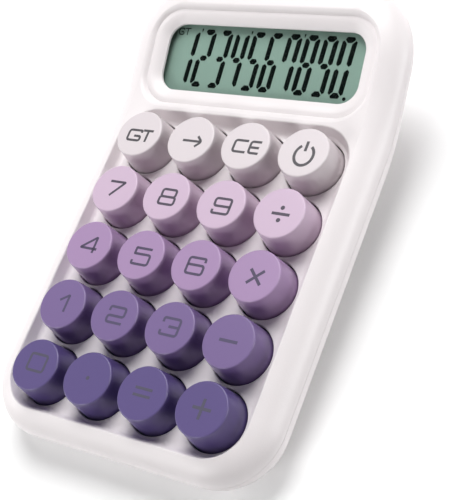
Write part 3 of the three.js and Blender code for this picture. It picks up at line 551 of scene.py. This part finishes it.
cap_profile = [
    (0, CAP_ROOF), (cap_radius(CAP_ROOF) - CAP_WALL, CAP_ROOF), (cap_radius(CAP_FOOT) - CAP_WALL, CAP_FOOT),
    (cap_radius(CAP_FOOT), CAP_FOOT), (cap_radius(CAP_WAIST), CAP_WAIST)]
for k in range(CAP_EDGE_STEPS + 1):
    turn = math.pi / 2 * k / CAP_EDGE_STEPS
    radius = CAP_TOP - CAP_EDGE * (1 - math.cos(turn))
    cap_profile.append((radius, CAP_HEIGHT - CAP_EDGE * (1 - math.sin(turn))))
cap_profile += [(CAP_TOP - CAP_BORDER, CAP_HEIGHT), (0, CAP_HEIGHT)]
# The caps' sideways faces get painted shade: their colour is 0.86 of that of their tops.
cap_finishes = [
    surface(f"cap row {row + 1}", color, 0.34, mottle=0.02, grain=0.25, grain_size=0.3, sides=0.86)
    for row, color in enumerate(ROW_COLORS)]
for index, (x, y) in enumerate(KEY_PLACES):
    cap = turned(f"cap_{index + 1:02d}", cap_profile, steps=72)
    smooth(cap)
    settle(cap, FACE @ Matrix.Translation((x, y, 0)), cap_finishes[index // COLUMNS],
           BODIES[index], CAP_SLOTS[index // COLUMNS])
    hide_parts(f"keycap_{index + 1:02d}")

# Key legends: dark ink printed on the flat of each cap, in strokes with rounded corners. A stroke
# is a list of points, closed where it ends with None, and a dot has a place and a radius. Each
# stroke lies a hair above the one before, so that no two share a plane.
INK_STROKE = 0.8
INK_STROKE_BOLD = 0.92
INK_ROOT = 0.05
INK_LIFT = 0.02
INK_STEP = 0.004
ROW_INKS = [(0.045, 0.040, 0.048), (0.048, 0.036, 0.062), (0.052, 0.037, 0.084),
            (0.062, 0.048, 0.112), (0.062, 0.056, 0.098)]


def loop(x0, x1, y0, y1):
    """A closed box."""
    return [(x0, y0), (x1, y0), (x1, y1), (x0, y1), None]


def arc(x, y, across, along, first, last, step=8):
    """An open stretch of an ellipse round a middle, from its first to its last angle in degrees."""
    turns = [math.radians(angle) for angle in range(first, last + 1, step)]
    return [(x + across * math.cos(turn), y + along * math.sin(turn)) for turn in turns]


LEGENDS = {
    "key_gt": [
        [(0.98, 0.2), (0.98, 1.0), (-3.8, 1.0), (-3.8, -2.65), (1.0, -2.65), (1.0, -1.05), (-1.5, -1.05)],
        [(1.4, 1.15), (5.25, 1.15)], [(3.4, 1.15), (3.4, -2.85)]],
    "key_arrow": [[(-2.6, -0.55), (4.2, -0.55)], [(2.4, 1.3), (4.35, -0.55), (2.4, -2.4)]],
    "key_ce": [
        [(0.8, 1.6), (-3.75, 1.6), (-3.75, -2.3), (0.8, -2.3)],
        [(5.4, 1.6), (1.9, 1.6), (1.9, -2.3), (5.4, -2.3)], [(1.9, -0.4), (5.1, -0.4)]],
    "key_power": [arc(0.6, -0.9, 3.05, 3.4, 122, 418), [(0.5, 3.7), (0.5, 0.4)]],
    "key_7": [[(-2.4, 2.25), (3.4, 2.25), (-0.9, -2.7)]],
    "key_8": [loop(-1.7, 3.4, -0.3, 2.2), loop(-1.96, 3.67, -2.8, -0.3)],
    "key_9": [
        [(3.5, -0.7), (-2.1, -0.7), (-2.1, 1.8), (3.5, 1.8), (3.5, -3.1), (-2.1, -3.1), (-2.1, -1.9)]],
    "key_divide": [[(-2.3, -0.3), (3.6, -0.3)], (0.6, 1.7, 0.68), (0.6, -2.3, 0.68)],
    "key_4": [[(3.5, -1.15), (-2.65, -1.15), (2.0, 2.6), (2.3, 2.6), (2.3, -2.5)]],
    "key_5": [
        [(3.6, 2.0), (-1.9, 2.0), (-2.1, 2.0), (-2.1, 1.8), (-2.1, 0.4), (-2.1, 0.1), (-1.8, 0.1),
         (3.7, 0.1), (3.7, -3.2), (-2.2, -3.2), (-2.2, -2.0)]],
    "key_6": [
        [(3.0, 0.95), (3.0, 2.15), (-2.6, 2.15), (-2.6, -2.9), (3.1, -2.9), (3.1, -0.1), (-2.6, -0.1)]],
    "key_multiply": [[(-1.7, 1.9), (2.8, -2.5)], [(2.8, 1.9), (-1.7, -2.5)]],
    "key_1": [[(-1.4, 0.95), (1.2, 2.8), (1.5, 2.8), (1.5, -2.5)]],
    "key_2": [[(-2.2, 1.2), (-2.2, 2.6), (3.5, 2.6), (3.5, -0.2), (-2.2, -0.2), (-2.2, -2.3), (3.6, -2.3)]],
    "key_3": [
        [(-2.7, 1.4), (-2.7, 2.8), (3.1, 2.8), (3.1, -2.25), (-2.7, -2.25), (-2.7, -1.0)],
        [(-0.4, 0.3), (3.1, 0.3)]],
    "key_minus": [[(-2.95, 0.0), (3.0, 0.0)]],
    "key_0": [loop(-2.6, 3.6, -1.9, 3.25)],
    "key_point": [(0.25, 0.15, 0.6)],
    "key_equals": [[(-2.9, 1.3), (3.0, 1.3)], [(-2.9, -0.8), (3.0, -0.8)]],
    "key_plus": [[(-2.9, 0.1), (3.1, 0.1)], [(0.1, 2.95), (0.1, -3.0)]],
}


CORNER_RADIUS = 0.9
SHARP_CORNER_RADIUS = 0.15
SHARP = math.radians(80)
ALMOST_STRAIGHT = math.radians(160)
MOST_OF_A_SIDE = 0.45
ARC_STEPS = 5
MITRE_LIMIT = 0.5


def rounded(points, closed):
    """The same path with an arc in place of each corner, a small one where the corner is sharp."""
    path = []
    count = len(points)
    for k, point in enumerate(points):
        corner = Vector(point)
        if not closed and k in (0, count - 1):
            path.append(corner)
            continue
        before = Vector(points[k - 1]) - corner
        after = Vector(points[(k + 1) % count]) - corner
        turn = before.angle(after)
        if turn > ALMOST_STRAIGHT:
            path.append(corner)
            continue
        radius = CORNER_RADIUS if turn > SHARP else SHARP_CORNER_RADIUS
        longest = MOST_OF_A_SIDE * min(before.length, after.length)
        cut = min(radius / math.tan(turn / 2), longest)
        start = corner + before.normalized() * cut
        end = corner + after.normalized() * cut
        for step in range(ARC_STEPS + 1):
            share = step / ARC_STEPS
            path.append(
                start * (1 - share) ** 2 + corner * 2 * share * (1 - share) + end * share * share)
    return path


def print_stroke(ink, points, closed, width, low, high):
    """A bar of ink along a path, from a height in the surface to one just above it."""
    path = rounded(points, closed)
    count = len(path)
    rows = []
    for k, point in enumerate(path):
        before = path[k - 1] if closed or k else point
        after = path[(k + 1) % count] if closed or k < count - 1 else point
        along = (after - before).normalized()
        into = (point - before).normalized() if (point - before).length else along
        spread = width / 2 / max(along.dot(into), MITRE_LIMIT)
        side = Vector((-along.y, along.x)) * spread
        left, right = point + side, point - side
        rows.append([ink.verts.new((*edge, height)) for edge, height in (
            (left, high), (right, high), (right, low), (left, low))])
    for k in range(count if closed else count - 1):
        here, there = rows[k], rows[(k + 1) % count]
        for n in range(4):
            m = (n + 1) % 4
            ink.faces.new((here[n], here[m], there[m], there[n]))
    if not closed:
        ink.faces.new(rows[0][::-1])
        ink.faces.new(rows[-1])


def print_patch(ink, outline, low, high):
    """A flat patch of ink with straight sides."""
    rims = [[ink.verts.new((x, y, height)) for x, y in outline] for height in (low, high)]
    ink.faces.new(rims[0][::-1])
    ink.faces.new(rims[1])
    for k in range(len(outline)):
        n = (k + 1) % len(outline)
        ink.faces.new((rims[0][k], rims[0][n], rims[1][n], rims[1][k]))


def print_disc(ink, x, y, radius, low, high, steps=24):
    """A round dot of ink."""
    turns = [2 * math.pi * k / steps for k in range(steps)]
    rim = [(x + radius * math.cos(turn), y + radius * math.sin(turn)) for turn in turns]
    print_patch(ink, rim, low, high)


def printed(name, ink):
    """The finished ink as a piece."""
    bmesh.ops.recalc_face_normals(ink, faces=ink.faces[:])
    mesh = bpy.data.meshes.new(name)
    ink.to_mesh(mesh)
    ink.free()
    return add(name, mesh)


inks = [surface(f"legend ink row {row + 1}", color, 0.5, mottle=0.1)
        for row, color in enumerate(ROW_INKS)]
for index, (x, y) in enumerate(KEY_PLACES):
    ink = bmesh.new()
    low, high = CAP_HEIGHT - INK_ROOT, CAP_HEIGHT + INK_LIFT
    width = INK_STROKE_BOLD if index % COLUMNS == COLUMNS - 1 else INK_STROKE
    for stroke in LEGENDS[BODIES[index]]:
        high += INK_STEP
        if isinstance(stroke, tuple):
            print_disc(ink, *stroke, low, high)
        else:
            closed = stroke[-1] is None
            print_stroke(ink, stroke[:-1] if closed else stroke, closed, width, low, high)
    legend = printed(f"legend_{index + 1:02d}", ink)
    settle(legend, FACE @ Matrix.Translation((x, y, 0)), inks[index // COLUMNS],
           BODIES[index], CAP_SLOTS[index // COLUMNS])

# Switches and board: a plunger of pale blue plastic under every cap, and the green circuit board
# whose moulded switch housings guide it. Of these only the board shows, in the gaps round the keys.
stem = surface("plunger plastic", (0.27, 0.47, 0.69), 0.35, grain=0.15)
board = surface("board lacquer", (0.03, 0.145, 0.065), 0.3, mottle=0.25, patch=0.15, patch_scale=400.0)
for name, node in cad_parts.items():
    if name.startswith("plunger_"):
        node.material_slots[0].material = stem
    if name == "main_board":
        node.material_slots[0].material = board

# Display: liquid crystal glass of a grey-green tint behind a clear moulded lens, held by a dark
# frame from behind. A flat amber cable runs from the glass down to the board.
lcd = surface("liquid crystal", (0.345, 0.525, 0.44), 0.3, mottle=0.03, patch=0.04, patch_scale=30.0)
lens = surface("lens clear", (0.01, 0.015, 0.014), 0.05, mottle=0.01, patch=0.02)
lens_shader = lens.node_tree.nodes["Principled BSDF"]
lens_shader.inputs["Alpha"].default_value = 0.1
lens_shader.inputs["IOR"].default_value = 1.49
lens_shader.inputs["Specular IOR Level"].default_value = 0.2
lens.surface_render_method = "BLENDED"
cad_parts["display_glass"].material_slots[0].material = lcd
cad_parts["display_lens"].material_slots[0].material = lens
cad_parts["display_holder"].material_slots[0].material = surface(
    "holder plastic", (0.035, 0.034, 0.042), 0.5, mottle=0.1, grain=0.3)
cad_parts["display_cable"].material_slots[0].material = surface(
    "flat cable", (0.45, 0.18, 0.025), 0.35, mottle=0.15)

# Display digits: the lit segments of ten slanted digits, a point, three marks and a small sign,
# each a flat dark patch on the face of the glass.
GLASS_FRONT = -5.4
DIGIT_PITCH = 6.43
FIRST_DIGIT = -29.43
DIGIT_MIDDLE = 0.95
SLANT = 0.083
UPPER = [(0.9, 7.45), (1.95, 8.55), (2.6, 8.15), (2.6, 1.0), (1.8, 0.38), (0.9, 1.2)]
LOWER = [(0.9, -1.25), (1.8, -0.45), (2.6, -1.1), (2.6, -8.15), (1.95, -8.7), (0.9, -7.6)]
SEGMENTS = {
    "a": [(-1.25, 9.7), (1.25, 9.7), (1.75, 8.85), (0.75, 7.8), (-0.75, 7.8), (-1.75, 8.85)],
    "b": UPPER,
    "c": LOWER,
    "d": [(-0.75, -7.85), (0.75, -7.85), (1.7, -8.95), (1.25, -9.65), (-1.25, -9.65), (-1.7, -8.95)],
    "e": [(-x, y) for x, y in LOWER],
    "f": [(-x, y) for x, y in UPPER],
    "g": [(-1.4, 0), (-0.75, 0.88), (0.75, 0.88), (1.4, 0), (0.75, -0.88), (-0.75, -0.88)],
}
LIT = ["bc", "abged", "abgcd", "fgbc", "afgcd", "afgecd", "fabc", "abcdefg", "abfgcd", "abcdef"]
MARK = [(-0.35, 10.8), (0.3, 10.8), (0.05, 9.7), (-0.2, 9.7)]
MARK_PLACES = (-25.5, -6.3, 13.2)
POINT = (31.1, -8.6, 0.58)
SIGN_STROKE = 0.34
SIGN = [
    [(-33.0, 10.1), (-33.0, 10.6), (-34.9, 10.6), (-34.9, 8.5), (-33.0, 8.5), (-33.0, 9.4), (-34.0, 9.4)],
    [(-32.6, 10.6), (-30.3, 10.6)], [(-31.5, 10.6), (-31.5, 8.4)]]

digits = bmesh.new()
low, high = GLASS_FRONT - INK_ROOT, GLASS_FRONT + INK_LIFT
for place, lit in enumerate(LIT):
    middle = FIRST_DIGIT + DIGIT_PITCH * place
    for segment in lit:
        outline = [(middle + x + SLANT * y, DIGIT_MIDDLE + y) for x, y in SEGMENTS[segment]]
        print_patch(digits, outline, low, high)
for middle in MARK_PLACES:
    print_patch(digits, [(middle + x, y) for x, y in MARK], low, high)
print_disc(digits, *POINT, low, high)
for stroke in SIGN:
    print_stroke(digits, stroke, False, SIGN_STROKE, low, high)
lit_segments = surface("lit segments", (0.003, 0.006, 0.005), 0.6, mottle=0.2)
lit_segments.node_tree.nodes["Principled BSDF"].inputs["Specular IOR Level"].default_value = 0
settle(printed("display_digits", digits), FACE @ TO_DISPLAY, lit_segments, "case", "lcd_glass")

# Battery and its contacts: one cell in a dark sleeve lies across the stand between a nickel
# plate and a nickel coil spring.
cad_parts["battery"].material_slots[0].material = surface(
    "cell sleeve", (0.07, 0.085, 0.11), 0.3, mottle=0.1)
nickel = surface("nickel strip", (0.6, 0.59, 0.56), 0.28, mottle=0.08, patch=0.12, metallic=1.0)
for name in ("contact_plate", "contact_spring"):
    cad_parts[name].material_slots[0].material = nickel

# Battery door: a thin plate of the casing's plastic that slides out under the back edge of the
# stand, with a rail on each side and three finger grooves across it.
DOOR_EDGE = 0.25
GROOVES = 3
GROOVE_HALF = 7
GROOVE_WIDTH = 1.2
GROOVE_PITCH = 2.4
GROOVE_DEPTH = 0.6
GROOVE_EDGE = 0.3
FIRST_GROOVE = STAND_BACK - 4.2
door_half = DOOR_HALF - DOOR_GAP
door_top = STAND_LIFT + DOOR_THICKNESS
door = block("door_plate", (-door_half, door_front, STAND_LIFT),
             (door_half, STAND_BACK, door_top), DOOR_EDGE)
rail_half = DOOR_HALF + RAIL_SLOT - DOOR_GAP
carve(door, block("rails", (-rail_half, door_front, RAIL_SLOT_FLOOR + DOOR_GAP),
                  (rail_half, STAND_BACK, door_top)), "UNION")
for k in range(GROOVES):
    front = FIRST_GROOVE - GROOVE_PITCH * k
    carve(door, block("groove", (-GROOVE_HALF, front, -OVERRUN),
                      (GROOVE_HALF, front + GROOVE_WIDTH, STAND_LIFT + GROOVE_DEPTH), GROOVE_EDGE))
smooth(door)
settle(door, DESK, casing, "door", "casing_plastic")
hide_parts("battery_door")

# Screws and feet: four zinc-plated screws sunk in the bottom, and four turned feet of dark rubber
# pressed into round seats.
zinc = surface("screw zinc", (0.42, 0.44, 0.46), 0.35, mottle=0.1, patch=0.15, metallic=1.0)
for number in range(1, len(SCREW_PLACES) + 1):
    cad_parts[f"case_screw_{number}"].material_slots[0].material = zinc
rubber = surface("foot rubber", (0.045, 0.045, 0.048), 0.85, mottle=0.15, grain=0.5, grain_size=0.25)
foot_profile = [
    (0, 0), (3.7, 0), (4.0, 0.03), (4.3, 0.15), (4.45, 0.32), (4.5, 0.5), (4.5, 2), (0, 2)]
for name, (x, y) in FOOT_PLACES.items():
    foot = turned(name.replace("foot", "pad"), foot_profile, steps=48)
    smooth(foot)
    settle(foot, DESK @ Matrix.Translation((x, y, 0)), rubber, "case", "foot_rubber")
    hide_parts(name)

# Camera, lamps and floor: a plain studio. A round soft lamp hangs high over the display end, and
# three weaker ones stand low at the right, the left and the front. The floor glows a little, more
# so with distance, so that it shows white and still keeps the object's shadow.
camera = add("camera", bpy.data.cameras.new("camera"))
camera.location = (0.19811087, -0.13858955, 0.27526223)
camera.rotation_euler = [math.radians(turn) for turn in (34.91954, 23.250507, 25.266626)]
camera.data.sensor_width = 36
camera.data.lens = 83.73
camera.data.clip_start = 0.01
scene = bpy.context.scene
scene.camera = camera


LAMP_DISTANCE = 0.9


def hang(name, bearing, height, size, energy):
    """A round soft lamp, at a bearing from the X axis and a height, both in degrees."""
    across, up = math.radians(bearing), math.radians(height)
    away = Vector((math.cos(across) * math.cos(up), math.sin(across) * math.cos(up), math.sin(up)))
    lamp = add(name, bpy.data.lights.new(name, "AREA"))
    lamp.data.shape = "DISK"
    lamp.data.size = size
    lamp.data.energy = energy
    lamp.location = away * LAMP_DISTANCE
    lamp.rotation_euler = away.to_track_quat("Z", "Y").to_euler()


hang("back_lamp", 99, 60, 0.6, 7.8)
hang("right_lamp", 17, 13, 0.4, 3.2)
hang("left_lamp", 207, 22, 0.4, 2.2)
hang("front_lamp", 250, 20, 0.4, 3.0)

scene.view_settings.view_transform = "Standard"
world = bpy.data.worlds.new("room")
scene.world = world
world.use_nodes = True
ROOM = 0.02


def shown(tree):
    """1 for what the eye sees directly, in a reflection or through glass, else 0."""
    start = Wire(tree)
    rays = [start.node("ShaderNodeLightPath", output=name)
            for name in ("Is Camera Ray", "Is Glossy Ray", "Is Transmission Ray")]
    return start.node("ShaderNodeClamp", {}, {"Value": rays[0] + rays[1] + rays[2]})


background = world.node_tree.nodes["Background"]
background.inputs["Color"].default_value = (1, 1, 1, 1)
(ROOM + shown(world.node_tree) * (1 - ROOM)).feed(background, "Strength")

FLOOR_SIZE = 3
FLOOR_WHITE = 0.92
FLOOR_GLOW = 0.16
FLOOR_FADE = 1.2
bpy.ops.mesh.primitive_plane_add(size=FLOOR_SIZE)
floor = bpy.context.object
floor.name = "floor"
paper = bpy.data.materials.new("paper")
paper.use_nodes = True
sheet = paper.node_tree.nodes["Principled BSDF"]
sheet.inputs["Base Color"].default_value = (FLOOR_WHITE, FLOOR_WHITE, FLOOR_WHITE, 1)
sheet.inputs["Roughness"].default_value = 1
sheet.inputs["Specular IOR Level"].default_value = 0
page = Wire(paper.node_tree)
away = page.node("ShaderNodeVectorMath", {"operation": "LENGTH"}, {
    0: page.node("ShaderNodeTexCoord", output="Object")}, "Value")
strength = shown(paper.node_tree) * (FLOOR_GLOW + away * away * FLOOR_FADE)
glow = page.node("ShaderNodeEmission", {}, {"Color": (1, 1, 1, 1), "Strength": strength})
page.node("ShaderNodeAddShader", {}, {0: Wire(paper.node_tree, sheet.outputs[0]), 1: glow}).feed(
    paper.node_tree.nodes["Material Output"], "Surface")
floor.data.materials.append(paper)
